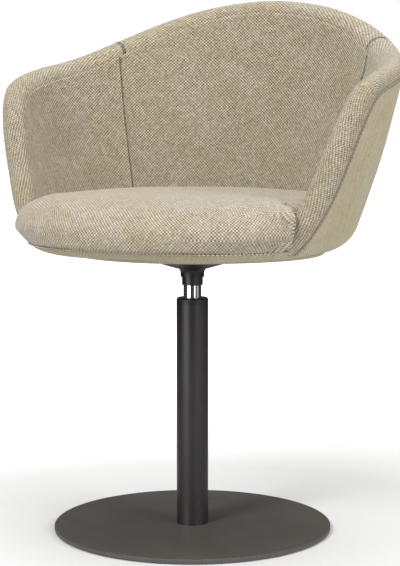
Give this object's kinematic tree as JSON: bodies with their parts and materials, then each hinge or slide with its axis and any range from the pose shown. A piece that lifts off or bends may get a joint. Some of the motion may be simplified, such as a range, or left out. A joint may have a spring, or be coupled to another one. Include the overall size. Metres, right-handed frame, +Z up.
{
  "type": "swivel armchair",
  "caption": "Upholstered tub armchair on a height-adjustable swivel column with a round floor disc; curved wrap-round back and arms, domed seat cushion.",
  "frame": {"origin": "on the floor, at the column's axis", "axes": "+Z up along the column; the sitter faces -Y; +X is the sitter's left"},
  "size_m": [0.6522, 0.5579, 0.847],
  "materials": {
    "floor_pad": "matt non-slip sheet",
    "base_plate": "satin powder coat, warm dark grey",
    "column_screws": "zinc plated",
    "column_tube": "satin powder coat, near black",
    "column_foot": "machined",
    "bearing_shelf": "machined",
    "guide_bush": "moulded, fine grain",
    "lower_race": "ground",
    "upper_race": "ground",
    "bearing_balls": "polished",
    "ball_cage": "moulded",
    "piston_rod": "hard chrome, ground",
    "rod_clip": "spring steel",
    "piston": "turned",
    "piston_ring": "smooth",
    "stop_buffer": "matt",
    "gas_cylinder": "bright chrome",
    "rod_gland": "turned",
    "rod_seal": "smooth",
    "valve_block": "turned",
    "release_pin": "ground",
    "taper_hub": "satin paint",
    "bell_cover": "moulded, fine grain",
    "mounting_plate": "satin paint",
    "mount_screws": "black zinc",
    "tee_nuts": "zinc plated",
    "lever_bracket": "zinc plated",
    "pivot_pin": "ground",
    "release_lever": "zinc plated",
    "lever_paddle": "moulded, fine grain",
    "bottom_panel": "same tweed as the shell, over board",
    "outer_cover": "coarse woven tweed, cream, beige and khaki brown",
    "front_band": "coarse woven tweed",
    "shell_core": "moulded shell",
    "rim_roll": "coarse woven tweed over foam",
    "back_panel": "coarse woven tweed over foam",
    "left_arm_panel": "coarse woven tweed over foam",
    "right_arm_panel": "coarse woven tweed over foam",
    "seat_board": "raw plywood",
    "seat_cushion": "coarse woven tweed over foam"
  },
  "bodies": {
    "base": {"floor_pad": "floor_pad", "base_plate": "base_plate", "column_screws": "column_screws", "column_tube": "column_tube", "column_foot": "column_foot", "bearing_shelf": "bearing_shelf", "guide_bush": "guide_bush", "lower_race": "lower_race", "bearing_balls": "bearing_balls", "ball_cage": "ball_cage"},
    "swivel": {"upper_race": "upper_race", "piston_rod": "piston_rod", "rod_clip": "rod_clip", "piston": "piston", "piston_ring": "piston_ring", "stop_buffer": "stop_buffer"},
    "seat": {"gas_cylinder": "gas_cylinder", "rod_gland": "rod_gland", "rod_seal": "rod_seal", "valve_block": "valve_block", "taper_hub": "taper_hub", "bell_cover": "bell_cover", "mounting_plate": "mounting_plate", "mount_screws": "mount_screws", "tee_nuts": "tee_nuts", "lever_bracket": "lever_bracket", "pivot_pin": "pivot_pin", "bottom_panel": "bottom_panel", "outer_cover": "outer_cover", "front_band": "front_band", "shell_core": "shell_core", "rim_roll": "rim_roll", "back_panel": "back_panel", "left_arm_panel": "left_arm_panel", "right_arm_panel": "right_arm_panel", "seat_board": "seat_board", "seat_cushion": "seat_cushion"},
    "lever": {"release_lever": "release_lever", "lever_paddle": "lever_paddle"},
    "pin": {"release_pin": "release_pin"}
  },
  "joints": [
    {"name": "seat_swivel", "type": "hinge", "parent": "base", "child": "swivel", "pos_m": [0, 0, 0.144], "axis": [0, 0, 1], "continuous": true},
    {"name": "seat_lift", "type": "slide", "parent": "swivel", "child": "seat", "axis": [0, 0, 1], "range_m": [0, 0.1]},
    {"name": "lever_lift", "type": "hinge", "parent": "seat", "child": "lever", "pos_m": [-0.028, 0, 0.4245], "axis": [0, 1, 0], "range_deg": [0, 4.09], "stiffness_Nm_per_rad": 0.5},
    {"name": "pin_press", "type": "slide", "parent": "seat", "child": "pin", "axis": [0, 0, -1], "range_m": [0, 0.002], "stiffness_N_per_m": 500}
  ],
  "couplings": [
    {"joint": "pin_press", "follows": "lever_lift", "m_per_rad": 0.028}
  ]
}
